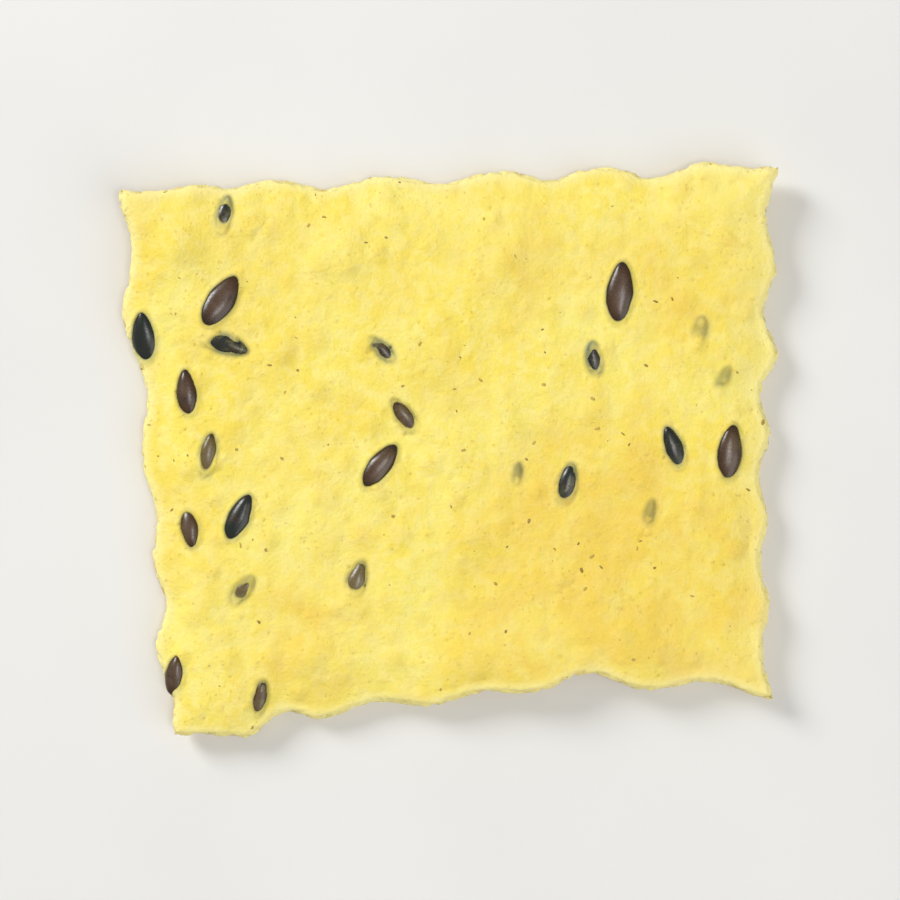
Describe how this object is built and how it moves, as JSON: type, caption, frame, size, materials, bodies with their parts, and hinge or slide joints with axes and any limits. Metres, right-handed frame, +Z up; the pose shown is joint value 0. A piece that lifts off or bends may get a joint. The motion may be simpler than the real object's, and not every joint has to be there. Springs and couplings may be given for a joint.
{
  "type": "flaxseed biscuit",
  "caption": "Thin crisp square biscuit of yellow dough with wavy cut edges and dark flaxseeds in both faces; a snack food.",
  "frame": {"origin": "on the surface that the biscuit rests on, below the middle of its bounding box", "axes": "+X along the longer side, +Y away from the front cut, +Z up through the thickness, out of the face that shows in the picture"},
  "size_m": [0.0536, 0.0468, 0.0035],
  "materials": {
    "dough": "matte",
    "flaxseed": "satin"
  },
  "bodies": {
    "root": {"biscuit": "dough"}
  },
  "joints": []
}
